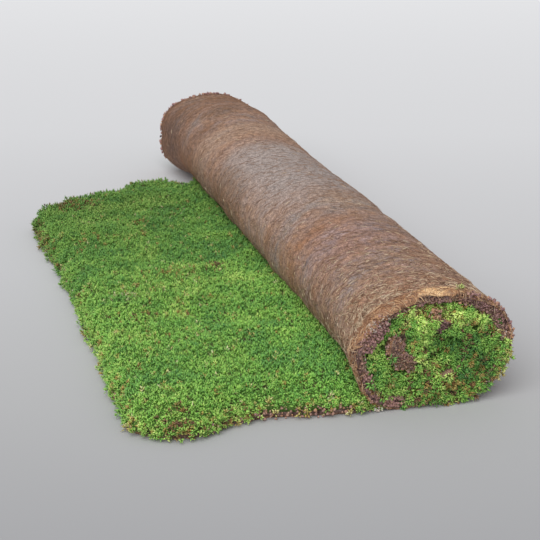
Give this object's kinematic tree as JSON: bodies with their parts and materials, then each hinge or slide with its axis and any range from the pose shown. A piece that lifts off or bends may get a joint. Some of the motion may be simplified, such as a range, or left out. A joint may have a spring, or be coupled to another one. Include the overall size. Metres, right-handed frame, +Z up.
{
  "type": "sedum mat",
  "caption": "Strip of low sedum planting rooted in a coir fleece, laid flat at one end and rolled up at the other with the plants inside.",
  "frame": {"origin": "on the floor, in the middle of the mat's overall length and width", "axes": "+Z up, +Y along the roll's axis, +X along the strip from its free end to the roll"},
  "size_m": [0.4949, 1.2, 0.1509],
  "materials": {
    "coir": "matted brown coir fibres with roots and soil in them",
    "sedum": "low, fine-leaved green plants"
  },
  "bodies": {
    "root": {"coir_carrier": "coir", "sedum_planting": "sedum"}
  },
  "joints": []
}
